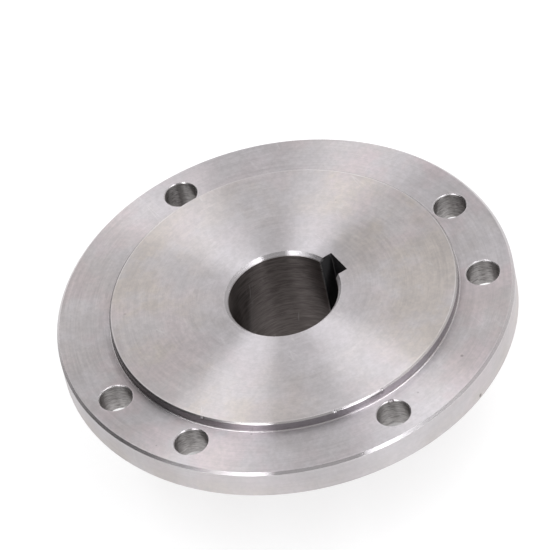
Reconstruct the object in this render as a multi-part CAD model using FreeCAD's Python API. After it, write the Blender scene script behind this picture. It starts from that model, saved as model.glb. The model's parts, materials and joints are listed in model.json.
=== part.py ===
import FreeCAD, Part
import math
import os

# A chuck adapter flange: one turned steel piece that carries a lathe chuck on a plain, keyed shaft.
# The chuck sits on the raised register and is bolted through the flange, and three set screws
# in the hub hold the piece on the shaft over its key.
# Frame: the origin is the centre of the hub's end face, +Z points to the chuck, +X through the
# keyway and +Y through the bolt hole that both bolt patterns share. Lengths are millimetres.

# Register, the low round step that centres the chuck
REGISTER_D = 95.0
REGISTER_H = 3.0
REGISTER_CHAMFER = 0.4
REGISTER_ROOT_R = 0.3

# Bolt holes: four at right angles and three at 120 degrees lie on one circle and share a hole.
# The metal left between a hole and the register, and between it and the rim, sets the bolt
# circle to 108 and the flange to 125 across.
BOLT_HOLE_D = 9.0
BOLT_EDGE_BREAK = 0.25
REGISTER_TO_HOLE = 2.0
HOLE_TO_RIM = 4.0
SHARED_HOLE_ANGLE = 90.0
CROSS_COUNT = 4
TRIANGLE_COUNT = 3

# Flange
FLANGE_T = 9.0
RIM_CHAMFER = 0.7

# Hub, bored for the shaft
BORE_D = 30.0
BORE_CHAMFER = 1.0
HUB_WALL = 8.0
HUB_L = 30.0
HUB_CHAMFER = 0.7
HUB_ROOT_R = 2.0

# Keyway, broached the whole length of the bore
KEY_W = 8.0
KEY_DEPTH = 3.3
KEY_CORNER_R = 0.2

# Set-screw holes: the wall is the root of the screw thread, M6
SCREW_D = 6.0
SCREW_COUNT = 3
SCREW_FROM_FLANGE = 14.0
SCREW_SINK = 0.4

# Knocks in the register's top edge, as an angle and how deep the blow bit, and one chip in the
# edge of a bolt hole, placed by the hole's angle and the chip's own angle around the hole
DENT_R = 1.0
REGISTER_DENTS = [(-149.5, 0.22), (-105.5, 0.28), (-88.5, 0.15)]
CHIPPED_HOLE_ANGLE = -90.0
CHIP_ANGLE = 155.0
CHIP_BITE = 0.35

# How far a cutting tool runs past the face that it cuts
OVERRUN = 1.0

bore_r = BORE_D / 2
hub_r = bore_r + HUB_WALL
register_r = REGISTER_D / 2
bolt_circle_r = register_r + REGISTER_TO_HOLE + BOLT_HOLE_D / 2
rim_r = bolt_circle_r + BOLT_HOLE_D / 2 + HOLE_TO_RIM
key_floor_x = bore_r + KEY_DEPTH

flange_z = HUB_L
seat_z = flange_z + FLANGE_T
top_z = seat_z + REGISTER_H
screw_z = flange_z - SCREW_FROM_FLANGE

Z_AXIS = FreeCAD.Vector(0, 0, 1)
CENTRE = FreeCAD.Vector(0, 0, 0)


def in_section(r, z):
    """A point of the turned section: r out from the axis, z up it."""
    return FreeCAD.Vector(r, 0, z)


def root_arc(r, z, radius):
    """The hollow arc in the corner of a wall at r and a face above or below it at z.

    A positive radius fillets a corner whose face lies above, a negative one a face below.
    """
    size = abs(radius)
    step = math.copysign(size, radius)
    centre_r = r + size
    centre_z = z - step
    on_wall = in_section(r, centre_z)
    middle = in_section(
        centre_r - size * math.cos(math.pi / 4),
        centre_z + step * math.sin(math.pi / 4),
    )
    on_face = in_section(centre_r, z)
    return on_wall, middle, on_face


def turned_body():
    """The flange, register and hub with their bore, turned from one section."""
    hub_wall, hub_mid, hub_face = root_arc(hub_r, flange_z, HUB_ROOT_R)
    step_wall, step_mid, step_face = root_arc(register_r, seat_z, -REGISTER_ROOT_R)
    outside = [
        in_section(bore_r, BORE_CHAMFER),
        in_section(bore_r + BORE_CHAMFER, 0),
        in_section(hub_r - HUB_CHAMFER, 0),
        in_section(hub_r, HUB_CHAMFER),
        hub_wall,
    ]
    around_rim = [
        hub_face,
        in_section(rim_r - RIM_CHAMFER, flange_z),
        in_section(rim_r, flange_z + RIM_CHAMFER),
        in_section(rim_r, seat_z - RIM_CHAMFER),
        in_section(rim_r - RIM_CHAMFER, seat_z),
        step_face,
    ]
    over_register = [
        step_wall,
        in_section(register_r, top_z - REGISTER_CHAMFER),
        in_section(register_r - REGISTER_CHAMFER, top_z),
        in_section(bore_r + BORE_CHAMFER, top_z),
        in_section(bore_r, top_z - BORE_CHAMFER),
        in_section(bore_r, BORE_CHAMFER),
    ]
    edges = Part.makePolygon(outside).Edges
    edges.append(Part.Arc(hub_wall, hub_mid, hub_face).toShape())
    edges += Part.makePolygon(around_rim).Edges
    edges.append(Part.Arc(step_face, step_mid, step_wall).toShape())
    edges += Part.makePolygon(over_register).Edges
    section = Part.Face(Part.Wire(edges))
    return section.revolve(CENTRE, Z_AXIS, 360)


def keyway():
    """The slot for the key, its floor square to +X, with the broach's small corner radii."""
    slot = Part.makeBox(
        key_floor_x,
        KEY_W,
        top_z + 2 * OVERRUN,
        FreeCAD.Vector(0, -KEY_W / 2, -OVERRUN),
    )
    corners = []
    for edge in slot.Edges:
        ends = [vertex.Point for vertex in edge.Vertexes]
        upright = abs(ends[0].z - ends[1].z) > top_z
        at_floor = min(ends[0].x, ends[1].x) > key_floor_x / 2
        if upright and at_floor:
            corners.append(edge)
    return slot.makeFillet(KEY_CORNER_R, corners)


def bolt_hole(angle):
    """A clearance hole through the flange with both its edges broken."""
    radius = BOLT_HOLE_D / 2
    wide = radius + BOLT_EDGE_BREAK
    reach = OVERRUN + BOLT_EDGE_BREAK
    hole = Part.makeCylinder(
        radius,
        FLANGE_T + 2 * OVERRUN,
        FreeCAD.Vector(0, 0, flange_z - OVERRUN),
    )
    top_break = Part.makeCone(
        radius,
        wide + OVERRUN,
        reach,
        FreeCAD.Vector(0, 0, seat_z - BOLT_EDGE_BREAK),
    )
    low_break = Part.makeCone(
        wide + OVERRUN,
        radius,
        reach,
        FreeCAD.Vector(0, 0, flange_z - OVERRUN),
    )
    tool = hole.multiFuse([top_break, low_break])
    tool.translate(FreeCAD.Vector(bolt_circle_r, 0, 0))
    tool.rotate(CENTRE, Z_AXIS, angle)
    return tool


def screw_hole(angle):
    """A radial hole through the hub's wall, countersunk at its outer mouth."""
    radius = SCREW_D / 2
    outward = FreeCAD.Vector(1, 0, 0)
    hole = Part.makeCylinder(
        radius,
        hub_r + OVERRUN,
        FreeCAD.Vector(0, 0, screw_z),
        outward,
    )
    sink = Part.makeCone(
        radius,
        radius + SCREW_SINK + OVERRUN,
        SCREW_SINK + OVERRUN,
        FreeCAD.Vector(hub_r - SCREW_SINK, 0, screw_z),
        outward,
    )
    tool = hole.fuse(sink)
    tool.rotate(CENTRE, Z_AXIS, angle)
    return tool


def blow(edge_r, edge_z, bite, side):
    """A ball that bites into a round upper edge, coming at it from 45 degrees above.

    side is 1 where the air is outside the edge and -1 where it is inside, as in a hole.
    """
    away = (DENT_R - bite) * math.cos(math.pi / 4)
    return Part.makeSphere(DENT_R, FreeCAD.Vector(edge_r + side * away, 0, edge_z + away))


def register_dent(angle, bite):
    """A dent in the middle of the register's edge chamfer."""
    half = REGISTER_CHAMFER / 2
    ball = blow(register_r - half, top_z - half, bite, 1)
    ball.rotate(CENTRE, Z_AXIS, angle)
    return ball


def hole_chip():
    """A chip out of the broken edge of one bolt hole, on the chuck side."""
    half = BOLT_EDGE_BREAK / 2
    ball = blow(BOLT_HOLE_D / 2 + half, seat_z - half, CHIP_BITE, -1)
    ball.rotate(CENTRE, Z_AXIS, CHIP_ANGLE)
    ball.translate(FreeCAD.Vector(bolt_circle_r, 0, 0))
    ball.rotate(CENTRE, Z_AXIS, CHIPPED_HOLE_ANGLE)
    return ball


def spread(count, first=0.0):
    """The angles of a number of equal steps around the axis."""
    return [first + 360 * i / count for i in range(count)]


cross = spread(CROSS_COUNT, SHARED_HOLE_ANGLE)
triangle = spread(TRIANGLE_COUNT, SHARED_HOLE_ANGLE)
bolt_angles = cross + triangle[1:]

cuts = [keyway()]
cuts += [bolt_hole(angle) for angle in bolt_angles]
cuts += [screw_hole(angle) for angle in spread(SCREW_COUNT)]
cuts += [register_dent(angle, bite) for angle, bite in REGISTER_DENTS]
cuts.append(hole_chip())

flange = turned_body().cut(cuts)

os.makedirs("parts", exist_ok=True)
flange.Solids[0].exportStep("parts/adapter_flange.step")

box = flange.BoundBox
print("solids", len(flange.Solids), "valid", flange.isValid())
print("size", round(box.XLength, 3), round(box.YLength, 3), round(box.ZLength, 3))
print("volume", round(flange.Volume, 1))
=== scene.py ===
# %% [markdown]
# # A turned steel chuck adapter flange
#
# This lesson dresses one machined part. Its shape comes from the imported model, which the first
# cell loads as a fixed frame. What is left to make here is the finish of each surface, the fine
# thread in its set-screw holes, and a plain studio to look at it in.
#
# All lengths in this file are metres. Where a formula is easier to read in millimetres, the name
# of the value ends in _mm or _MM. Inside the materials, Radius and Height are in millimetres too.

# %% Load the model
import json
import math

import bpy
import numpy as np
from mathutils import Matrix, Vector


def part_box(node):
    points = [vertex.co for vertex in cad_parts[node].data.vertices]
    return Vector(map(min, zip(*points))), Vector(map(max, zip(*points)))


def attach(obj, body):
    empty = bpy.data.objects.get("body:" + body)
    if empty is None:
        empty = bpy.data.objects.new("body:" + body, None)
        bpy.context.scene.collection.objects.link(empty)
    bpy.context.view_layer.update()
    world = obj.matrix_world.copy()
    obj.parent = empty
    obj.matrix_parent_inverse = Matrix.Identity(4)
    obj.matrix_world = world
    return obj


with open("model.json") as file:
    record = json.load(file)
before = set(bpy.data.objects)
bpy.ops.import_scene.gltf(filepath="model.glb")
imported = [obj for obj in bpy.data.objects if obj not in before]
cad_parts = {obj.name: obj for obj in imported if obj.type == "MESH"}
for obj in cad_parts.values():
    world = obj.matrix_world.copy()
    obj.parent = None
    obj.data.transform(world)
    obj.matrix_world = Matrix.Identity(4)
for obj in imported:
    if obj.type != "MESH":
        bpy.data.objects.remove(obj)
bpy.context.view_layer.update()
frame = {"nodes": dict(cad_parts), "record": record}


flange = frame["nodes"]["adapter_flange"]

# %% [markdown]
# ## Sizes
#
# Every pattern below follows the part's own geometry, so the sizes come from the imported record:
# its mounts say where the bore, the register, the bolt holes and the set screws are. Only what no
# mount gives, such as the hub's outside and the flange's thickness, is written here.

# %% Read the sizes from the record
MM = 0.001
mounts = {mount["name"]: mount for mount in frame["record"]["mounts"]}
low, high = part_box("adapter_flange")

RIM_R = high.x
TOP_Z = high.z
SEAT_Z = mounts["chuck_seat"]["pos_m"][2]
BORE_R = mounts["bore"]["dims"]["r_mm"] * MM
REGISTER_R = mounts["register"]["dims"]["r_mm"] * MM
BOLT_HOLE_R = mounts["bolts_key_line"]["dims"]["hole_r_mm"] * MM
BOLT_CIRCLE_R = mounts["bolts_key_line"]["dims"]["spacing_x_mm"] * MM / 2
SCREW_R = mounts["set_screw_120"]["dims"]["r_mm"] * MM
SCREW_Z = mounts["set_screw_120"]["pos_m"][2]
FLANGE_T = 9 * MM
FLANGE_Z = SEAT_Z - FLANGE_T
HUB_R = 23 * MM
KEY_HALF_WIDTH = 4 * MM
KEY_FLOOR_X = 18.3 * MM
print("heights", low.z, FLANGE_Z, SEAT_Z, TOP_Z, "radii", BORE_R, HUB_R, REGISTER_R, RIM_R)

# %% [markdown]
# ## Edges
#
# Chamfers are cut with the side of the tool, and the curves at the root of a wall with its nose,
# so both shine differently from the faces beside them. The materials find each one in the turned
# section by the radius and height of its middle, and by how far it reaches from there. A chamfer's
# middle is half its size in from the sharp corner that it replaces, and a root curve's is 0.3 of
# its radius out from the corner between its two walls.

# %% Edges of the turned section
# Radius, height and reach, in millimetres.
EDGES_MM = [
    (62.15, 38.65, 0.52),  # the rim, on the chuck's side
    (62.15, 30.35, 0.52),  # the rim, on the hub's side
    (47.30, 41.80, 0.30),  # the register
    (47.60, 39.10, 0.26),  # the foot of the register's wall
    (15.50, 41.50, 0.74),  # the bore, at the top
    (15.50, 0.50, 0.74),  # the bore, at the hub's end
    (22.65, 0.35, 0.52),  # the hub's end
    (23.60, 29.40, 1.45),  # the hub, where it meets the flange
]
# The same for a bolt hole, with the radius taken from the hole's own axis.
HOLE_EDGES_MM = [(4.63, 38.87, 0.22), (4.63, 30.13, 0.22)]
print("edges", len(EDGES_MM), "and of a bolt hole", len(HOLE_EDGES_MM))

# %% [markdown]
# ## Camera
#
# The photograph was taken from far away with a long lens, a little to the left of the keyway's
# line and 45 degrees up, with the camera rolled by 13 degrees. Those values come from fitting the
# ellipses of the flange, the register and the bore. A camera is placed by its own three axes: it
# looks along its -Z, so its back points from the part to the camera, and its right and up are
# turned about that line by the roll.

# %% Place the camera
VIEW_AZIMUTH = math.radians(-23.12)
VIEW_ELEVATION = math.radians(44.74)
VIEW_ROLL = math.radians(13.08)
VIEW_DISTANCE = 1.4043
LOOK_AT = Vector((0.0033, 0.0100, SEAT_Z))
LENS_MM = 339.4
SENSOR_MM = 36.0
CLIP_END = 20.0


def direction(azimuth, elevation):
    """The unit vector from the part to a point seen at this azimuth (0 is -Y) and elevation."""
    flat = math.cos(elevation)
    return Vector((math.sin(azimuth) * flat, -math.cos(azimuth) * flat, math.sin(elevation)))


back = direction(VIEW_AZIMUTH, VIEW_ELEVATION)
level_right = Vector((0, 0, 1)).cross(back).normalized()
level_up = back.cross(level_right)
right = level_right * math.cos(VIEW_ROLL) - level_up * math.sin(VIEW_ROLL)
up = level_up * math.cos(VIEW_ROLL) + level_right * math.sin(VIEW_ROLL)

camera_data = bpy.data.cameras.new("camera")
camera_data.lens = LENS_MM
camera_data.sensor_width = SENSOR_MM
camera_data.clip_end = CLIP_END
camera = bpy.data.objects.new("camera", camera_data)
bpy.context.scene.collection.objects.link(camera)
axes = Matrix((right, up, back)).transposed().to_4x4()
camera.matrix_world = Matrix.Translation(LOOK_AT + back * VIEW_DISTANCE) @ axes
bpy.context.scene.camera = camera
print("camera at", [round(value, 4) for value in camera.matrix_world.translation])

# %% [markdown]
# ## Helpers for shader nodes
#
# A material here is a sum written in nodes. Placing each node by hand would hide the sum, so a
# few small helpers do it: one adds a node and fills its inputs, and the others are the arithmetic,
# soft steps, blends and noise that the sum is made of.

# %% Node helpers


def node(tree, kind, inputs=None, **settings):
    """Adds a node, sets its properties, and sets or links its inputs by name or number."""
    made = tree.nodes.new(kind)
    for name, value in settings.items():
        setattr(made, name, value)
    for key, value in (inputs or {}).items():
        if isinstance(value, bpy.types.NodeSocket):
            tree.links.new(value, made.inputs[key])
        else:
            made.inputs[key].default_value = value
    return made


def calc(tree, operation, *values):
    """One step of arithmetic on numbers."""
    return node(tree, "ShaderNodeMath", dict(enumerate(values)), operation=operation).outputs[0]


def product(tree, *values):
    """All the values multiplied."""
    total = values[0]
    for value in values[1:]:
        total = calc(tree, "MULTIPLY", total, value)
    return total


def vector(tree, operation, *values):
    """One step of arithmetic on vectors, whose result is a vector."""
    made = node(tree, "ShaderNodeVectorMath", dict(enumerate(values)), operation=operation)
    return made.outputs["Vector"]


def measure(tree, operation, *values):
    """A number from one or two vectors: DOT_PRODUCT, DISTANCE or LENGTH."""
    made = node(tree, "ShaderNodeVectorMath", dict(enumerate(values)), operation=operation)
    return made.outputs["Value"]


def split(tree, value):
    """The X, Y and Z of a vector."""
    parts = node(tree, "ShaderNodeSeparateXYZ", {0: value}).outputs
    return parts["X"], parts["Y"], parts["Z"]


def join(tree, x, y, z):
    """A vector from its X, Y and Z."""
    return node(tree, "ShaderNodeCombineXYZ", {"X": x, "Y": y, "Z": z}).outputs[0]


def ramp(tree, value, start, end, low_value=0.0, high_value=1.0):
    """A smooth step: low_value up to start, high_value from end on."""
    inputs = {"Value": value, "From Min": start, "From Max": end}
    inputs.update({"To Min": low_value, "To Max": high_value})
    made = node(tree, "ShaderNodeMapRange", inputs, interpolation_type="SMOOTHSTEP")
    return made.outputs["Result"]


def near(tree, value, centre, half_width, soft):
    """1 where value lies within half_width of centre, falling to 0 over a further soft."""
    away = calc(tree, "ABSOLUTE", calc(tree, "SUBTRACT", value, centre))
    return ramp(tree, away, half_width, half_width + soft, 1.0, 0.0)


def blend(tree, share, first, second):
    """A colour that goes from first to second as share goes from 0 to 1."""
    inputs = {"Factor": share, "A": first, "B": second}
    return node(tree, "ShaderNodeMix", inputs, data_type="RGBA").outputs["Result"]


def noise(tree, position, scale=1.0, detail=3.0, roughness=0.5):
    """Smooth noise from 0 to 1, with its mean at a half."""
    inputs = {"Vector": position, "Scale": scale, "Detail": detail, "Roughness": roughness}
    return node(tree, "ShaderNodeTexNoise", inputs).outputs["Fac"]


print("node helpers ready")

# %% [markdown]
# ## Node groups
#
# What more than one material can use is a node group: it is built once, and each material places
# it with its own values.

# %% Group helpers


def new_group(name, inputs, outputs):
    """A shader node group with named sockets. Returns (group, its inputs, its outputs)."""
    group = bpy.data.node_groups.new(name, "ShaderNodeTree")
    for label, kind in inputs:
        group.interface.new_socket(label, in_out="INPUT", socket_type="NodeSocket" + kind)
    for label, kind in outputs:
        group.interface.new_socket(label, in_out="OUTPUT", socket_type="NodeSocket" + kind)
    given = group.nodes.new("NodeGroupInput").outputs
    return group, given, group.nodes.new("NodeGroupOutput").inputs


def place(tree, group, inputs):
    """Puts a node group into a tree with its inputs set or linked. Returns its outputs."""
    return node(tree, "ShaderNodeGroup", inputs, node_tree=group).outputs


print("group helpers ready")

# %% [markdown]
# ## Where a point of the flange lies
#
# A lathe leaves the same marks at every point of one radius on a face and of one height on a
# wall, while a drilled hole and a broached slot have marks of their own. One could split the
# mesh by surface and give each its own material, but the mesh stays as the frame made it. So this
# group works out from the object coordinates how far a point is from the axis, how high it is and
# which surface it belongs to. The six bolt holes need only three distances, because four of them
# are mirror images in X and Y and the other two are mirror images in X.

# %% Group: surface map
# The distance along the section, which the rings follow: 1 a millimetre outwards, this upwards.
RING_PER_HEIGHT = 0.83
# The drill's marks climb by this share of the way across, and change this fast across and along.
DRILL_SLANT = 0.16
DRILL_ACROSS = 0.55
DRILL_ALONG = 4.6
# How far a mask reaches past its surface, how softly an edge's ends, and where the one on the
# corners of the keyway's mouth starts and ends, in millimetres.
SKIN_MM = 0.05
EDGE_FADE_MM = 0.06
MOUTH_MM = (0.16, 0.30)
# The axis itself has no direction outwards, so no radius below this is divided by.
LEAST_RADIUS_MM = 0.001


def distance_2d(tree, first, second):
    """sqrt(first^2 + second^2)."""
    squares = [calc(tree, "POWER", value, 2.0) for value in (first, second)]
    return calc(tree, "SQRT", calc(tree, "ADD", *squares))


def within(tree, value, lowest, highest):
    """1 between two limits and 0 outside them."""
    away = calc(tree, "ABSOLUTE", calc(tree, "SUBTRACT", value, (lowest + highest) / 2))
    return calc(tree, "LESS_THAN", away, (highest - lowest) / 2)


def nearest_hole(tree, x, y):
    """Millimetres to the axis of the nearest bolt hole: on X, on Y, or 30 degrees below X."""
    circle = BOLT_CIRCLE_R / MM
    side_x = calc(tree, "ABSOLUTE", x)
    side_y = calc(tree, "ABSOLUTE", y)
    aside = calc(tree, "SUBTRACT", side_x, circle * math.cos(math.radians(30)))
    below = calc(tree, "ADD", y, circle * math.sin(math.radians(30)))
    on_x = distance_2d(tree, calc(tree, "SUBTRACT", side_x, circle), y)
    on_y = distance_2d(tree, x, calc(tree, "SUBTRACT", side_y, circle))
    slanting = distance_2d(tree, aside, below)
    return calc(tree, "MINIMUM", calc(tree, "MINIMUM", on_x, on_y), slanting)


def edge_mask(tree, x, y, z, radius, hole_radius):
    """1 on the chamfers, the root curves and the two corners of the keyway's mouth."""
    mask = 0.0
    edges = [(radius, *item) for item in EDGES_MM]
    edges += [(hole_radius, *item) for item in HOLE_EDGES_MM]
    for measured, edge_r, edge_z, reach in edges:
        away = distance_2d(tree, calc(tree, "SUBTRACT", measured, edge_r),
                           calc(tree, "SUBTRACT", z, edge_z))
        close = ramp(tree, away, reach, reach + EDGE_FADE_MM, 1.0, 0.0)
        mask = calc(tree, "MAXIMUM", mask, close)
    corner_x = math.sqrt(BORE_R**2 - KEY_HALF_WIDTH**2) / MM
    corner_y = calc(tree, "SUBTRACT", calc(tree, "ABSOLUTE", y), KEY_HALF_WIDTH / MM)
    corner = distance_2d(tree, calc(tree, "SUBTRACT", x, corner_x), corner_y)
    return calc(tree, "MAXIMUM", mask, ramp(tree, corner, *MOUTH_MM, 1.0, 0.0))


def make_surface_map():
    """Radius and height in millimetres, vectors along which marks run, and a mask per surface."""
    outputs = [("Radius", "Float"), ("Height", "Float"), ("Ring", "Vector"), ("Drill", "Vector")]
    masks = ["Bore", "Keyway", "Bolt Hole", "Screw Hole", "Wall", "Edge"]
    outputs += [(mask, "Float") for mask in masks]
    group, given, results = new_group("surface map", [("Position", "Vector")], outputs)
    scaled = node(group, "ShaderNodeVectorMath", {0: given["Position"], "Scale": 1 / MM},
                  operation="SCALE")
    x, y, z = split(group, scaled.outputs[0])
    radius = distance_2d(group, x, y)
    hole_radius = nearest_hole(group, x, y)

    safe = calc(group, "MAXIMUM", radius, LEAST_RADIUS_MM)
    along = calc(group, "ADD", radius, product(group, z, RING_PER_HEIGHT))
    ring = join(group, calc(group, "DIVIDE", x, safe), calc(group, "DIVIDE", y, safe), along)
    slant = product(group, calc(group, "ADD", x, y), DRILL_SLANT)
    drill = join(group, product(group, x, DRILL_ACROSS), product(group, y, DRILL_ACROSS),
                 product(group, calc(group, "ADD", z, slant), DRILL_ALONG))

    # Each mask goes a little past its surface or stops short of the edge beside it, and the small
    # numbers below are those margins.
    bore, key, floor_x = BORE_R / MM, KEY_HALF_WIDTH / MM, KEY_FLOOR_X / MM
    hole, register, top = BOLT_HOLE_R / MM, REGISTER_R / MM, TOP_Z / MM
    screw, screw_z, seat = SCREW_R / MM, SCREW_Z / MM, SEAT_Z / MM
    in_bore = ramp(group, radius, bore + 0.1, bore + 0.25, 1.0, 0.0)
    in_slot = product(
        group,
        within(group, y, -key - 0.02, key + 0.02),
        within(group, x, bore - 0.8, floor_x + 0.03),
        within(group, z, 0.02, top - 0.02),
        calc(group, "GREATER_THAN", radius, bore + 0.03),
    )
    in_hole = product(
        group,
        ramp(group, hole_radius, hole + 0.06, hole + 0.16, 1.0, 0.0),
        within(group, z, FLANGE_Z / MM + SKIN_MM, seat - SKIN_MM),
    )
    in_screw = product(
        group,
        within(group, z, screw_z - screw - 0.5, screw_z + screw + 0.5),
        within(group, radius, bore + 0.1, HUB_R / MM - SKIN_MM),
    )
    on_wall = product(
        group,
        within(group, radius, register - SKIN_MM, register + SKIN_MM),
        within(group, z, seat + 0.3, top - 0.35),
    )
    on_edge = edge_mask(group, x, y, z, radius, hole_radius)
    values = [radius, z, ring, drill, in_bore, in_slot, in_hole, in_screw, on_wall, on_edge]
    for socket, value in zip(results, values):
        group.links.new(value, socket)
    return group


surface_map = make_surface_map()
print("surface map outputs", [item.name for item in surface_map.interface.items_tree])

# %% [markdown]
# ## Tool marks
#
# A turned surface is a fine spiral groove. The groove itself is far too fine to see, but its
# depth and tone wander from one turn to the next, which the eye reads as faint concentric rings.
# The rings are noise that changes fast along the radius and hardly at all around the circle. The
# ring vector above gives that: it is (cos a, sin a, distance along the section), so stretching
# only its third part makes rings with no seam. Two spacings are laid over each other, because one
# alone looks like a record's grooves.

# %% Group: tool marks
COARSE_WANDER = 2.2
FINE_WANDER = 5.0


def weighted(tree, first, share, second):
    """share x first + (1 - share) x second."""
    return calc(tree, "ADD", product(tree, first, share), product(tree, second, 1 - share))


def make_tool_marks():
    """Rings at two spacings, given as changes a millimetre.

    Height is for a Bump node, and Tone is a mask around a half in which the fine rings count more.
    """
    inputs = [("Ring", "Vector"), ("Coarse", "Float"), ("Fine", "Float")]
    outputs = [("Height", "Float"), ("Tone", "Float")]
    group, given, results = new_group("tool marks", inputs, outputs)
    x, y, along = split(group, given["Ring"])

    def rings(density, wander):
        """Noise along the section, which wanders a little around the circle."""
        stretched = join(group, product(group, x, wander), product(group, y, wander),
                         product(group, along, density))
        return noise(group, stretched, detail=2.0, roughness=0.6)

    coarse = rings(given["Coarse"], COARSE_WANDER)
    fine = rings(given["Fine"], FINE_WANDER)
    group.links.new(weighted(group, coarse, 0.5, fine), results["Height"])
    group.links.new(weighted(group, coarse, 0.4, fine), results["Tone"])
    return group


tool_marks = make_tool_marks()
print("tool marks ready")

# %% [markdown]
# ## Handling marks
#
# Bare steel takes stains from cutting oil and from fingers: broad, faint clouds, some yellowish,
# some pinkish and some only dull, under an even, fine mottle, with a few small specks, hairline
# scratches and short scuffs. Wide noise with a soft threshold makes the clouds. The cells of a
# Voronoi texture make the specks, of which only a few are let through. A scratch is where a
# stretched noise crosses its middle value, which happens on thin lines, and a wide noise keeps
# only short lengths of them.

# %% Group: handling marks
MOTTLE_SCALE = 800.0
SPECK_SCALE = 330.0
SPECK_CHANCE = 0.035
# Each kind of hairline: the turn and stretch of its noise, the noise's detail, how wide and soft
# the line is, where the noise that keeps it lies and how coarse it is, its limits and strength.
SCRATCHES = dict(turn=0.9, stretch=(230.0, 18.0, 40.0), detail=1.0, width=0.0015, soft=0.006,
                 offset=(0.7, 0.1, 0.3), kept_scale=70.0, kept_detail=1.0,
                 limits=(0.60, 0.66), strength=1.0)
SCUFFS = dict(turn=-0.6, stretch=(190.0, 46.0, 60.0), detail=1.5, width=0.004, soft=0.016,
              offset=(0.2, 0.8, 0.6), kept_scale=95.0, kept_detail=2.0,
              limits=(0.60, 0.68), strength=0.55)


def hairlines(tree, position, kind):
    """Short lengths of thin lines: near(noise, 1/2) where a second, wide noise is high."""
    turned = node(tree, "ShaderNodeMapping", {
        "Vector": position, "Rotation": (0.0, 0.0, kind["turn"]), "Scale": kind["stretch"]})
    crossing = noise(tree, turned.outputs[0], detail=kind["detail"])
    lines = near(tree, crossing, 0.5, kind["width"], kind["soft"])
    wide = noise(tree, vector(tree, "ADD", position, kind["offset"]),
                 scale=kind["kept_scale"], detail=kind["kept_detail"])
    return product(tree, lines, ramp(tree, wide, *kind["limits"], 0.0, kind["strength"]))


def make_handling_marks():
    """Warm, Pink and Haze are clouds, Mottle is fine and even, Speck and Scratch are sparse."""
    inputs = [("Position", "Vector"), ("Cloud Size", "Float")]
    outputs = [(name, "Float") for name in ("Warm", "Pink", "Haze", "Mottle", "Speck", "Scratch")]
    group, given, results = new_group("handling marks", inputs, outputs)
    position = given["Position"]
    scale = calc(group, "DIVIDE", 1.0, given["Cloud Size"])

    def cloud(offset, finer=1.0, detail=6.0, roughness=0.62):
        """Noise at the cloud size, or finer, taken from its own part of space."""
        moved = vector(group, "ADD", position, offset)
        return noise(group, moved, product(group, scale, finer), detail, roughness)

    warm = ramp(group, cloud((0.31, 0.12, 0.0)), 0.42, 0.64)
    pink = ramp(group, cloud((0.05, 0.44, 0.2)), 0.44, 0.60)
    haze = cloud((0.9, 0.2, 0.5), finer=2.2, detail=4.0, roughness=0.6)
    mottle = noise(group, position, MOTTLE_SCALE, detail=5.0, roughness=0.70)

    cells = node(group, "ShaderNodeTexVoronoi", {"Vector": position, "Scale": SPECK_SCALE},
                 feature="F1")
    chance = node(group, "ShaderNodeSeparateColor", {0: cells.outputs["Color"]}).outputs["Red"]
    picked = calc(group, "GREATER_THAN", chance, 1 - SPECK_CHANCE)
    speck = product(group, picked, ramp(group, cells.outputs["Distance"], 0.03, 0.11, 1.0, 0.0))

    scratch = calc(group, "MAXIMUM", hairlines(group, position, SCRATCHES),
                   hairlines(group, position, SCUFFS))
    for socket, value in zip(results, [warm, pink, haze, mottle, speck, scratch]):
        group.links.new(value, socket)
    return group


handling_marks = make_handling_marks()
print("handling marks ready")

# %% [markdown]
# ## Colours of the steel
#
# The flange is bare mild steel: a light grey with a trace of pink, browner and pinker where it was
# held. Edges are lighter, partly from wear and partly as a painted highlight. The bore is darker
# under a brown layer, and darker still with painted shade for the inside of the hole. The bolt
# holes show the slanting marks of the drill, and the keyway is nearly black with cutting oil. The
# register's low wall is darker on one side with painted shade. A few single marks of the real part
# are placed one by one, each by its radius and angle on the part.

# %% Colours and places of marks
STEEL = (0.648, 0.619, 0.648, 1)
WARM_TINT = (0.670, 0.609, 0.572, 1)
PINK_TINT = (0.672, 0.582, 0.612, 1)
DULL_STEEL = (0.430, 0.410, 0.415, 1)
# The bore's two tones: a brown layer, darkened further with painted shade for the inside of the
# hole.
BORE_TINT_AND_SHADE = (0.124, 0.106, 0.101, 1)
BORE_LIGHT = (0.228, 0.200, 0.193, 1)
# Lighter steel: wear on the rim, and wear with a painted highlight on the edges.
WEAR_AND_HIGHLIGHT_STEEL = (0.704, 0.674, 0.683, 1)
HOLE_STEEL = (0.525, 0.502, 0.495, 1)
HOLE_DARK = (0.200, 0.188, 0.184, 1)
SLOT_STEEL = (0.120, 0.117, 0.120, 1)
WALL_STEEL = (0.438, 0.412, 0.436, 1)
# Painted shade: the darker grey for one side of the register's wall.
WALL_SHADE = (0.190, 0.178, 0.185, 1)
# Near white for the thin line inside the register's chamfer: wear and a painted highlight.
LIP_WEAR_AND_HIGHLIGHT = (0.860, 0.840, 0.850, 1)
SPECK = (0.100, 0.085, 0.075, 1)
SCRATCH_LIGHT = (0.78, 0.76, 0.76, 1)


def outwards(degrees):
    """(cos a, sin a, 0): the direction away from the axis at this angle from +X."""
    return math.cos(math.radians(degrees)), math.sin(math.radians(degrees)), 0.0


def on_part(radius_mm, degrees, height_mm):
    """A place on the part, in metres, from its radius, its angle from +X and its height."""
    x, y, _ = outwards(degrees)
    return Vector((radius_mm * x * MM, radius_mm * y * MM, height_mm * MM))


# The face is browner towards both ends of this line, as if it was held there.
GRIP_LINE = outwards(166)
# Painted shade on the register's wall: most of it on one side, and less on the other.
SHADE_SIDE = outwards(165)
SHADE_FAR_SIDE = outwards(-2)
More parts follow.
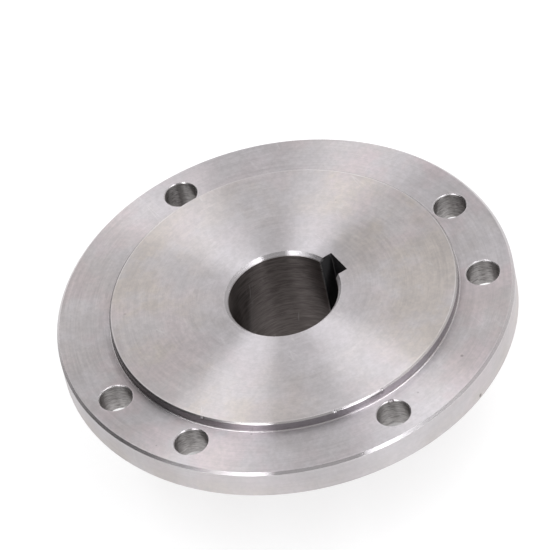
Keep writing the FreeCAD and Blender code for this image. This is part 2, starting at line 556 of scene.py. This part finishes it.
# Dark spots: radius, angle and height, then size in millimetres and strength.
SPOTS = [
    ((55.0, -62.6, 39.0), 0.45, 0.45),
    ((48.3, -133.0, 39.0), 0.30, 0.40),
    ((43.1, 149.1, 42.0), 0.45, 0.25),
    ((62.5, -67.3, 31.6), 0.60, 0.60),
]
# One short scratch by a dent in the register's edge, from end to end.
SCRATCH_ENDS = (on_part(46.5, -150.1, TOP_Z / MM), on_part(44.1, -152.1, TOP_Z / MM))
print("single marks", len(SPOTS) + 1)

# %% [markdown]
# ## Layers of colour
#
# Each function below lays surfaces or stains over the colour before it, where a mask says that
# they belong. The face comes first, with its clouds and rings, because nearly all of the part is
# turned like it.

# %% Colour of the faces
# The limits between which the clouds grow: from the axis, in millimetres, and along the grip line.
OUTWARD_MM = (18.0, 42.0)
ACROSS = (10 * MM, 36 * MM)
# The shares of cloud at those limits.
OUTWARD_SHARES = (0.15, 0.60)
ACROSS_SHARES = (0.0, 0.85)
# The limits of height between which the seat's mask starts, in millimetres.
SEAT_HEIGHTS_MM = (31.0, 38.0)
# How much of each tint and mark shows.
PINK_SHARE = 0.62
LEAST_WARM = 0.25
WARM_ON_SEAT = 0.28
RINGS_ON_FACE = 0.17
RINGS_ON_SEAT = 0.25
MOTTLE_SHARE = 0.34
HAZE_SHARE = 0.22


def face_colour(tree, position, where, marks, handled):
    """Steel with clouds, rings and mottle.

    held is how much the place was touched, which grows outwards and towards the ends of the grip
    line. Pink is PINK_SHARE x held, and warm is (LEAST_WARM to 1) x held, less on the seat around
    the register. The rings show more on the seat.
    """
    outward = ramp(tree, where["Radius"], *OUTWARD_MM, *OUTWARD_SHARES)
    across = calc(tree, "ABSOLUTE", measure(tree, "DOT_PRODUCT", position, GRIP_LINE))
    held = calc(tree, "ADD", ramp(tree, across, *ACROSS, *ACROSS_SHARES), outward)
    on_seat = product(
        tree,
        ramp(tree, where["Radius"], REGISTER_R / MM - 0.1, REGISTER_R / MM + 0.3),
        ramp(tree, where["Height"], *SEAT_HEIGHTS_MM),
    )
    colour = blend(tree, product(tree, handled["Pink"], held, PINK_SHARE), STEEL, PINK_TINT)
    warm = calc(tree, "ADD", product(tree, handled["Warm"], 1 - LEAST_WARM), LEAST_WARM)
    warm = product(tree, warm, held, ramp(tree, on_seat, 0.0, 1.0, 1.0, WARM_ON_SEAT))
    colour = blend(tree, warm, colour, WARM_TINT)
    ringed = product(
        tree,
        ramp(tree, on_seat, 0.0, 1.0, RINGS_ON_FACE, RINGS_ON_SEAT),
        ramp(tree, marks["Tone"], 0.38, 0.64),
    )
    dull_layers = [
        ringed,
        ramp(tree, handled["Mottle"], 0.34, 0.66, 0.0, MOTTLE_SHARE),
        ramp(tree, handled["Haze"], 0.38, 0.66, 0.0, HAZE_SHARE),
    ]
    for share in dull_layers:
        colour = blend(tree, share, colour, DULL_STEEL)
    return colour


print("colour of the faces ready")

# %% [markdown]
# The walls, the holes, the keyway and the edges replace the face's colour where they are. Worn
# metal shows on the rim, and on every edge as wear with a painted highlight. The painted shade on
# the register's wall is measured by the cosine of the angle from each of its two sides, so it
# needs no seam and no angle.

# %% Colour of walls, holes and edges
# Where the painted shade on the register's wall starts and is full on each side, and its share on
# the far side.
SHADE_COSINES = (0.50, 0.67)
SHADE_FAR_COSINES = (0.70, 0.90)
SHADE_FAR_SHARE = 0.60
RIM_WORN = 0.45
# How much the edges lighten: partly wear, partly a painted highlight.
EDGE_WEAR_AND_HIGHLIGHT = 0.5


def wall_shade_share(tree, where):
    """How much painted shade the register's wall has at this angle: the more of its two sides."""
    main_side = measure(tree, "DOT_PRODUCT", where["Ring"], SHADE_SIDE)
    far_side = measure(tree, "DOT_PRODUCT", where["Ring"], SHADE_FAR_SIDE)
    return calc(tree, "MAXIMUM", ramp(tree, main_side, *SHADE_COSINES),
                ramp(tree, far_side, *SHADE_FAR_COSINES, 0.0, SHADE_FAR_SHARE))


def wall_colours(tree, colour, where, marks, wall_shade, drilled):
    """Lays the wall, the rim, the bore, the holes, the keyway and the edges over the face."""
    # The register's wall turns to painted shade on one side.
    wall = blend(tree, wall_shade, WALL_STEEL, WALL_SHADE)
    # The bore's colour holds painted shade for the inside of the hole.
    bore = blend(tree, ramp(tree, marks["Tone"], 0.35, 0.65), BORE_TINT_AND_SHADE, BORE_LIGHT)
    hole = blend(tree, ramp(tree, drilled, 0.36, 0.62), HOLE_DARK, HOLE_STEEL)
    on_rim = ramp(tree, where["Radius"], RIM_R / MM - 0.2, RIM_R / MM - 0.05, 0.0, RIM_WORN)
    layers = [
        (where["Wall"], wall),
        (on_rim, WEAR_AND_HIGHLIGHT_STEEL),
        (where["Bore"], bore),
        (where["Bolt Hole"], hole),
        (where["Screw Hole"], HOLE_STEEL),
        (where["Keyway"], SLOT_STEEL),
        # Edges turn lighter: wear, and partly a painted highlight.
        (product(tree, where["Edge"], EDGE_WEAR_AND_HIGHLIGHT), WEAR_AND_HIGHLIGHT_STEEL),
    ]
    for share, surface in layers:
        colour = blend(tree, share, colour, surface)
    return colour


print("colour of walls, holes and edges ready")

# %% [markdown]
# The register's edge gets two more layers. The painted shade of its wall runs on over its chamfer
# and over the foot of the wall, where it is weaker. Just inside the chamfer the edge is a thin
# bright line, partly burnished wear and partly a painted highlight, which the haze breaks up.

# %% Colour of the register's edge
# How much painted shade the foot and the top of the register's wall take.
SHADE_AT_FOOT = 0.35
SHADE_AT_TOP = 0.80
LIP_HIGHLIGHT_SHARES = (0.05, 0.42)


def register_colours(tree, colour, where, wall_shade, haze):
    """Lays painted shade, and wear with a painted highlight, each a ring of its own radius and
    heights in mm.
    """
    rim = REGISTER_R / MM
    on_register = product(
        tree,
        near(tree, where["Radius"], rim - 0.1, 0.30, 0.08),
        ramp(tree, where["Height"], 38.0, 38.5),
        ramp(tree, where["Height"], 39.3, 39.8, SHADE_AT_FOOT, SHADE_AT_TOP),
    )
    # Painted shade runs on over the register's chamfer and the foot of its wall.
    colour = blend(tree, product(tree, wall_shade, on_register), colour, WALL_SHADE)
    # A thin bright line inside the chamfer: burnished wear and a painted highlight.
    lip_highlight = product(
        tree,
        near(tree, where["Radius"], rim - 0.62, 0.06, 0.14),
        ramp(tree, where["Height"], 41.9, 41.97),
        ramp(tree, haze, 0.35, 0.62, *LIP_HIGHLIGHT_SHARES),
    )
    return blend(tree, lip_highlight, colour, LIP_WEAR_AND_HIGHLIGHT)


print("colour of the register's edge ready")

# %% [markdown]
# ## Single marks
#
# A spot is a small ball of space in which the steel is stained, so it needs no picture and stays
# where it is from every side. The short scratch is a thin box of space in the same way.

# %% Placed marks
LINE_HALF_WIDTH = 0.03 * MM
LINE_SOFT = 0.12 * MM
# Shares of the scratch's half length, and of a spot's size, over which each fades.
LINE_ENDS = (0.6, 0.5)
SPOT_FADE = (0.4, 1.3)
SPECK_SHARE = 0.45
SCRATCH_SHARE = 0.30
LINE_SHARE = 0.5


def line_mark(tree, position):
    """1 on the one short scratch: by its line, between its ends and within 0.2 mm of its face."""
    start, end = SCRATCH_ENDS
    along = (end - start).normalized()
    aside = Vector((-along.y, along.x, 0.0))
    half = (end - start).length / 2
    local = vector(tree, "SUBTRACT", position, tuple((start + end) / 2))

    def part(axis):
        """How far the point lies along this axis of the scratch."""
        return measure(tree, "DOT_PRODUCT", local, tuple(axis))

    return product(
        tree,
        near(tree, part(aside), 0.0, LINE_HALF_WIDTH, LINE_SOFT),
        near(tree, part(along), 0.0, *(half * share for share in LINE_ENDS)),
        near(tree, part((0, 0, 1)), 0.0, 0.2 * MM, 0.1 * MM),
    )


def marked(tree, colour, position, handled):
    """Lays the specks, the hairlines, the spots and the short scratch over a colour."""
    colour = blend(tree, product(tree, handled["Speck"], SPECK_SHARE), colour, SPECK)
    colour = blend(tree, product(tree, handled["Scratch"], SCRATCH_SHARE), colour, SCRATCH_LIGHT)
    for spot_place, size, strength in SPOTS:
        away = measure(tree, "DISTANCE", position, tuple(on_part(*spot_place)))
        start, end = (size * share * MM for share in SPOT_FADE)
        colour = blend(tree, ramp(tree, away, start, end, strength, 0.0), colour, SPECK)
    line = product(tree, line_mark(tree, position), LINE_SHARE)
    return blend(tree, line, colour, SCRATCH_LIGHT)


print("placed marks ready")

# %% [markdown]
# ## Shine and grain
#
# A turned face scatters light across its grooves and hardly at all along them, which is why it
# shows bright rays from the centre. The shader's anisotropy does that, with its tangent running
# along the grooves: around the main axis on the faces, and level around each wall, so a bolt
# hole's grooves run around the hole and not around the flange. Chamfers and the register's wall
# are smoother than the faces. The depth of the marks is real: a few micrometres for the rings, and
# tens for the drill's.

# %% Roughness, depth and grain
MICROMETRE = 1e-6
RING_DEPTH_UM = 5.0
DRILL_DEPTH_UM = 30.0
SCRATCH_DEPTH_UM = 3.0
RING_ROUGHNESS = (0.32, 0.38)
CUT_SMOOTHER = 0.13
WALL_SMOOTHER = 1.3
BORE_EDGE = 0.55
WARM_ROUGHER = 0.04
STEEP = 0.9
# The shader spreads light along its tangent, so a quarter turn makes that across the grooves.
QUARTER_TURN = 0.25


def turned_roughness(tree, where, marks, handled):
    """ring + WARM_ROUGHER Warm - CUT_SMOOTHER (Edge s + WALL_SMOOTHER Wall).

    ring goes over RING_ROUGHNESS by the rings' tone, and s is BORE_EDGE within 17 mm of the axis,
    where the bore's chamfers are, and 1 from 18 mm on.
    """
    ring = ramp(tree, marks["Tone"], 0.3, 0.7, *RING_ROUGHNESS)
    rough = calc(tree, "ADD", ring, product(tree, handled["Warm"], WARM_ROUGHER))
    softer_bore = ramp(tree, where["Radius"], 17.0, 18.0, BORE_EDGE, 1.0)
    smooth = calc(tree, "ADD", product(tree, where["Edge"], softer_bore),
                  product(tree, where["Wall"], WALL_SMOOTHER))
    return calc(tree, "SUBTRACT", rough, product(tree, smooth, CUT_SMOOTHER))


def turned_normal(tree, where, marks, handled, drilled):
    """The normal bent by rings (not on edges), by the drill's marks in holes, and by scratches."""
    ring_depth = ramp(tree, where["Edge"], 0.0, 1.0, RING_DEPTH_UM, 0.0)
    rings = product(tree, marks["Height"], ring_depth)
    drill = product(tree, drilled, where["Bolt Hole"], DRILL_DEPTH_UM)
    scratches = product(tree, handled["Scratch"], -SCRATCH_DEPTH_UM)
    height = calc(tree, "ADD", calc(tree, "ADD", rings, drill), scratches)
    inputs = {"Height": height, "Distance": MICROMETRE, "Strength": 1.0}
    return node(tree, "ShaderNodeBump", inputs).outputs["Normal"]


def groove_tangent(tree):
    """Around the axis on faces, and Z x normal on walls, where that is longer than STEEP."""
    around = node(tree, "ShaderNodeTangent", direction_type="RADIAL", axis="Z").outputs["Tangent"]
    facing = node(tree, "ShaderNodeNewGeometry").outputs["Normal"]
    sideways = vector(tree, "CROSS_PRODUCT", (0, 0, 1), facing)
    steep = calc(tree, "GREATER_THAN", measure(tree, "LENGTH", sideways), STEEP)
    inputs = {"Factor": steep, "A": around, "B": sideways}
    return node(tree, "ShaderNodeMix", inputs, data_type="VECTOR").outputs["Result"]


print("shine and grain ready")

# %% [markdown]
# ## Turned steel
#
# With the layers at hand, the material is their sum. It goes into the material slot of the
# flange's own node, whose mesh isn't touched.

# %% Material: turned steel
COARSE_RINGS = 1.3
FINE_RINGS = 5.5
CLOUD_SIZE = 0.016


def new_material(name):
    """An empty material. Returns (material, its tree, its Principled shader's inputs)."""
    material = bpy.data.materials.new(name)
    material.use_nodes = True
    return material, material.node_tree, material.node_tree.nodes["Principled BSDF"].inputs


def make_turned_steel():
    """The flange's own finish, worked out from where each point lies."""
    material, tree, shader = new_material("turned_steel")
    position = node(tree, "ShaderNodeTexCoord").outputs["Object"]
    where = place(tree, surface_map, {"Position": position})
    marks = place(tree, tool_marks,
                  {"Ring": where["Ring"], "Coarse": COARSE_RINGS, "Fine": FINE_RINGS})
    handled = place(tree, handling_marks, {"Position": position, "Cloud Size": CLOUD_SIZE})
    drilled = noise(tree, where["Drill"], detail=5.0, roughness=0.72)

    # How much painted shade each point of the register's wall takes.
    wall_shade = wall_shade_share(tree, where)
    colour = face_colour(tree, position, where, marks, handled)
    colour = wall_colours(tree, colour, where, marks, wall_shade, drilled)
    colour = register_colours(tree, colour, where, wall_shade, handled["Haze"])
    tree.links.new(marked(tree, colour, position, handled), shader["Base Color"])
    tree.links.new(turned_roughness(tree, where, marks, handled), shader["Roughness"])
    tree.links.new(turned_normal(tree, where, marks, handled, drilled), shader["Normal"])
    tree.links.new(groove_tangent(tree), shader["Tangent"])
    shader["Metallic"].default_value = 1.0
    shader["Anisotropic"].default_value = 1.0
    shader["Anisotropic Rotation"].default_value = QUARTER_TURN
    return material


flange.data.materials[0] = make_turned_steel()
print("flange finish", flange.data.materials[0].name)

# %% [markdown]
# ## Thread of the set-screw holes
#
# The three holes in the hub are tapped for M6 set screws. The model has them as plain holes at
# the thread's outer size, so what is missing is the ridge that winds inwards from the wall. It is
# made as one surface of two parameters: the turn along the helix and the corner of the ridge's
# section. The ridge is 0.5 mm high with a pitch of 1 mm, as a tap cuts it, and fades to nothing
# at both ends, where the tap starts and where it leaves. Its foot is sunk a little into the wall,
# so that no gap shows.

# %% Shape of a thread ridge
PITCH = 1.0 * MM
THREAD_DEPTH = 0.5 * MM
FOOT_SINK = 0.02 * MM
CREST_R = SCREW_R - THREAD_DEPTH
ROOT_R = SCREW_R + FOOT_SINK
BASE_HALF = 0.44 * MM
CREST_HALF = 0.13 * MM
STEPS_PER_TURN = 64
FADE_TURNS = 0.8
LEAST_FADE = 0.02


def thread_ridge(start, end):
    """Corners of a ridge that winds around X from start to end.

    At turn t the helix is at x = start + PITCH t and angle a = 2 pi t, and a section's corner
    (d, r) lies at (x + d, r cos a, r sin a). A rising a with a rising x is a right-hand thread.
    The crest's radius is ROOT_R - (ROOT_R - CREST_R) f, where f goes from LEAST_FADE to 1 over
    FADE_TURNS at each end.
    """
    turns = (end - start) / PITCH
    t = np.linspace(0.0, turns, int(turns * STEPS_PER_TURN) + 1)
    fade = np.clip(np.minimum(t, turns - t) / FADE_TURNS, LEAST_FADE, 1.0)
    crest = ROOT_R - (ROOT_R - CREST_R) * fade
    root = np.full_like(t, ROOT_R)
    offsets = np.array([-BASE_HALF, -CREST_HALF, CREST_HALF, BASE_HALF])
    radii = np.stack([root, crest, crest, root], axis=1)
    angle = 2 * np.pi * t[:, None]
    x = start + PITCH * t[:, None] + offsets[None, :]
    return np.stack([x, radii * np.cos(angle), radii * np.sin(angle)], axis=-1)


def closed_faces(rows, columns):
    """Faces of a closed run of sections: quads from (i, j) to (i + 1, j + 1), and two end caps."""
    row, column = np.meshgrid(np.arange(rows - 1), np.arange(columns), indexing="ij")
    following = (column + 1) % columns
    quads = np.stack([
        row * columns + column,
        row * columns + following,
        (row + 1) * columns + following,
        (row + 1) * columns + column,
    ], axis=-1).reshape(-1, 4)
    first_cap = np.arange(columns)[::-1]
    last_cap = np.arange(columns) + (rows - 1) * columns
    return quads.tolist() + [first_cap.tolist(), last_cap.tolist()]


print("sections in a ridge of one turn", len(thread_ridge(0.0, PITCH)))

# %% [markdown]
# ## Place the ridges
#
# Each ridge is turned to its hole and rides on the same body as the flange. Every corner of the
# section also says whether it is a crest, which the material needs. The hole on the keyway starts
# at the keyway's floor, and the other two start at the bore. All end below the hub's outside.

# %% Thread ridges
THREAD_END = HUB_R - 0.9 * MM
FROM_KEY_FLOOR = 0.5 * MM
FROM_BORE = 0.3 * MM


def ridge_object(name, heading, start, end):
    """A closed thread ridge in the hole at this azimuth in the row's XY plane."""
    grid = thread_ridge(start, end)
    rows, columns = grid.shape[:2]
    turn = np.array([
        [math.cos(heading), -math.sin(heading), 0.0],
        [math.sin(heading), math.cos(heading), 0.0],
        [0.0, 0.0, 1.0],
    ])
    points = grid.reshape(-1, 3) @ turn.T + np.array([0.0, 0.0, SCREW_Z])
    mesh = bpy.data.meshes.new(name)
    mesh.from_pydata(points.tolist(), [], closed_faces(rows, columns))
    crest = mesh.attributes.new("crest", "FLOAT", "POINT")
    crest.data.foreach_set("value", np.tile([0.0, 1.0, 1.0, 0.0], rows))
    made = bpy.data.objects.new(name, mesh)
    bpy.context.scene.collection.objects.link(made)
    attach(made, "root")
    return made


ridges = [
    ridge_object("thread_on_key", 0.0, KEY_FLOOR_X + FROM_KEY_FLOOR, THREAD_END),
    ridge_object("thread_120", math.radians(120), BORE_R + FROM_BORE, THREAD_END),
    ridge_object("thread_240", math.radians(240), BORE_R + FROM_BORE, THREAD_END),
]
print("thread ridges", [(item.name, len(item.data.polygons)) for item in ridges])

# %% [markdown]
# ## Tapped steel
#
# A tap burnishes the crests and leaves oil and fine swarf in the grooves, so the ridge is light
# along its crest and dark at its foot. The crest attribute of the mesh says which is which. The
# handling marks are placed again, with much smaller clouds.

# %% Material: tapped steel
GROOVE_STEEL = (0.13, 0.12, 0.115, 1)
CREST_STEEL = (0.52, 0.50, 0.50, 1)
THREAD_CLOUD_SIZE = 0.002
SWARF_DEPTH = 10 * MICROMETRE
# The share of a crest that a stain leaves light, and the roughness of a flank and of a crest.
STAINED_CREST = 0.75
THREAD_ROUGHNESS = (0.5, 0.28)


def make_tapped_steel():
    """Light crests and dark, oily flanks."""
    material, tree, shader = new_material("tapped_steel")
    position = node(tree, "ShaderNodeTexCoord").outputs["Object"]
    handled = place(tree, handling_marks, {"Position": position, "Cloud Size": THREAD_CLOUD_SIZE})
    crest = node(tree, "ShaderNodeAttribute", attribute_name="crest").outputs["Fac"]
    worn = product(tree, crest, ramp(tree, handled["Warm"], 0.0, 1.0, 1.0, STAINED_CREST))
    bump = node(tree, "ShaderNodeBump",
                {"Height": handled["Mottle"], "Distance": SWARF_DEPTH, "Strength": 1.0})
    tree.links.new(blend(tree, worn, GROOVE_STEEL, CREST_STEEL), shader["Base Color"])
    tree.links.new(ramp(tree, worn, 0.0, 1.0, *THREAD_ROUGHNESS), shader["Roughness"])
    tree.links.new(bump.outputs["Normal"], shader["Normal"])
    shader["Metallic"].default_value = 1.0
    return material


tapped_steel = make_tapped_steel()
for ridge in ridges:
    ridge.data.materials.append(tapped_steel)
print("thread finish", tapped_steel.name)

# %% [markdown]
# ## Floor
#
# The part stands on its hub on a pale floor, as white as the photograph's background. Its paint is
# matt, which keeps the part's shadow, and a share of plain glow brings it up to white for the
# camera and for reflections. Through the bolt holes the photograph shows a darker ground than
# around the part. So the paint and the glow fade in a disc that the flange hides from the camera,
# apart from the ground below the bore.

# %% Floor
FLOOR_HALF = 4.0
FLOOR_COLOUR = (0.90, 0.90, 0.90, 1)
# Painted shadow: the floor's paint turns this grey, and its glow weaker, in a disc under the
# flange.
PAINTED_SHADOW_COLOUR = (0.58, 0.58, 0.58, 1)
GLOW_STRENGTH = 1.4
OPEN_GLOW = 0.5
SHADED_GLOW = 0.06
SHADE_CENTRE = tuple(direction(VIEW_AZIMUTH + math.pi, 0) * 25 * MM)
SHADE_CORE_R = 0.68 * RIM_R
SHADE_R = 0.90 * RIM_R


def make_floor_material():
    """Matt paint plus glow, both weaker in a disc under the flange, as a painted shadow.

    painted_shadow = (1 inside SHADE_CORE_R to 0 at SHADE_R) x (0 inside the bore's radius to 1 at
    the hub's), with the first distance from SHADE_CENTRE and the second from the axis.
    """
    material = bpy.data.materials.new("pale_floor")
    material.use_nodes = True
    tree = material.node_tree
    tree.nodes.remove(tree.nodes["Principled BSDF"])
    position = node(tree, "ShaderNodeTexCoord").outputs["Object"]
    from_centre = measure(tree, "DISTANCE", position, SHADE_CENTRE)
    from_axis = measure(tree, "LENGTH", position)
    # Where the painted shadow lies: a disc under the flange, but not below the bore.
    painted_shadow = product(
        tree,
        ramp(tree, from_centre, SHADE_CORE_R, SHADE_R, 1.0, 0.0),
        ramp(tree, from_axis, BORE_R, HUB_R),
    )
    matt = node(tree, "ShaderNodeBsdfDiffuse",
                {"Color": blend(tree, painted_shadow, FLOOR_COLOUR, PAINTED_SHADOW_COLOUR)})
    glow = node(tree, "ShaderNodeEmission", {"Color": (1, 1, 1, 1), "Strength": GLOW_STRENGTH})
    path = node(tree, "ShaderNodeLightPath").outputs
    mirrored = calc(tree, "MAXIMUM", path["Is Glossy Ray"], path["Is Transmission Ray"])
    seen = calc(tree, "MAXIMUM", path["Is Camera Ray"], mirrored)
    share = product(tree, seen, ramp(tree, painted_shadow, 0.0, 1.0, OPEN_GLOW, SHADED_GLOW))
    mixed = node(tree, "ShaderNodeMixShader", {0: share, 1: matt.outputs[0], 2: glow.outputs[0]})
    tree.links.new(mixed.outputs[0], tree.nodes["Material Output"].inputs["Surface"])
    return material


floor_mesh = bpy.data.meshes.new("floor")
square = [(-1, -1), (1, -1), (1, 1), (-1, 1)]
floor_points = [(FLOOR_HALF * x, FLOOR_HALF * y, 0) for x, y in square]
floor_mesh.from_pydata(floor_points, [], [(0, 1, 2, 3)])
floor_mesh.materials.append(make_floor_material())
floor = bpy.data.objects.new("floor", floor_mesh)
bpy.context.scene.collection.objects.link(floor)
print("floor half width", FLOOR_HALF)

# %% [markdown]
# ## Room
#
# Metal shows what is around it, so the room matters more than the lamps' strength. The camera
# sees plain white. Reflections see a light grey room that is darker on the left and in front,
# where a photographer and their flags would stand, and a little lighter at the back. That gives
# the dark chamfer on the left and the darker rays of the faces.

# %% Room
WORLD_LEVEL = 0.878
# Each patch: its azimuth from the camera's side and its elevation, in degrees, the cosines at
# which it starts and is full, and the share of light that it takes away, or adds if below 0.
ROOM_PATCHES = {
    "left": (-105, 22, 0.6, 0.95, 0.90),
    "front": (-10, 30, 0.3, 0.95, 0.50),
    "right": (95, 25, 0.4, 0.9, 0.28),
    "back": (180, 20, 0.1, 0.8, -0.18),
}


def make_room():
    """The world: WORLD_LEVEL x the product of what each patch leaves, and 1 for the camera."""
    world = bpy.data.worlds.new("studio")
    world.use_nodes = True
    tree = world.node_tree
    heading = node(tree, "ShaderNodeTexCoord").outputs["Generated"]
    left_over = WORLD_LEVEL
    for azimuth, elevation, start, end, taken in ROOM_PATCHES.values():
        centre = direction(VIEW_AZIMUTH + math.radians(azimuth), math.radians(elevation))
        towards = measure(tree, "DOT_PRODUCT", heading, tuple(centre))
        patch = ramp(tree, towards, start, end)
        left_over = product(tree, left_over, ramp(tree, patch, 0.0, 1.0, 1.0, 1.0 - taken))
    camera_ray = node(tree, "ShaderNodeLightPath").outputs["Is Camera Ray"]
    background = tree.nodes["Background"].inputs
    tree.links.new(calc(tree, "MAXIMUM", left_over, camera_ray), background["Strength"])
    background["Color"].default_value = (1, 1, 1, 1)
    return world


bpy.context.scene.world = make_room()
print("room patches", list(ROOM_PATCHES))

# %% [markdown]
# ## Soft boxes
#
# A turned face shows a lamp as two opposite rays, because a groove scatters light only in the
# plane across it. The rays in the photograph lie 30 degrees to either side of the camera, and the
# narrow chamfers, which mirror the room like a curved glass, show the same two lamps 17 degrees
# to either side. Both fit a pair of long strips that run from front to back above the part,
# side by side, with a gap over the camera's line.

# %% Place the soft boxes
STRIP_FRONT = 0.28
STRIP_HEIGHT = 0.91
STRIP_TILT = math.radians(13)
STRIP_LENGTH = 1.30
STRIP_WIDTH = 0.22
STRIP_POWER = 3.5
STRIP_COLOUR = (0.96, 0.975, 1.0)
GAP_LEFT, SWING_LEFT = 0.49, math.radians(1)
GAP_RIGHT, SWING_RIGHT = 0.45, math.radians(3)


def strip_light(name, side, gap, swing):
    """A long lamp on one side (-1 or 1) of the camera's line, running towards the camera.

    Its middle is a gap away from that line, and its front end is swung towards it by an angle.
    """
    front = direction(VIEW_AZIMUTH, 0)
    aside = direction(VIEW_AZIMUTH + side * math.pi / 2, 0)
    upward = Vector((0, 0, 1))
    centre = aside * gap + front * STRIP_FRONT + upward * STRIP_HEIGHT
    level = front * math.cos(swing) - aside * math.sin(swing)
    length_axis = level * math.cos(STRIP_TILT) - upward * math.sin(STRIP_TILT)
    width_axis = centre.cross(length_axis).normalized()
    away = length_axis.cross(width_axis)
    data = bpy.data.lights.new(name, "AREA")
    data.shape = "RECTANGLE"
    data.size = STRIP_LENGTH
    data.size_y = STRIP_WIDTH
    data.energy = STRIP_POWER
    data.color = STRIP_COLOUR
    lamp = bpy.data.objects.new(name, data)
    bpy.context.scene.collection.objects.link(lamp)
    lamp_axes = Matrix((length_axis, width_axis, away)).transposed().to_4x4()
    lamp.matrix_world = Matrix.Translation(centre) @ lamp_axes


strip_light("strip_left", -1, GAP_LEFT, SWING_LEFT)
strip_light("strip_right", 1, GAP_RIGHT, SWING_RIGHT)
print("lights", [item.name for item in bpy.data.lights])

# %% [markdown]
# ## Finish
#
# The colours are shown as they are, with the Standard view.

# %% Finish
bpy.context.scene.view_settings.view_transform = "Standard"
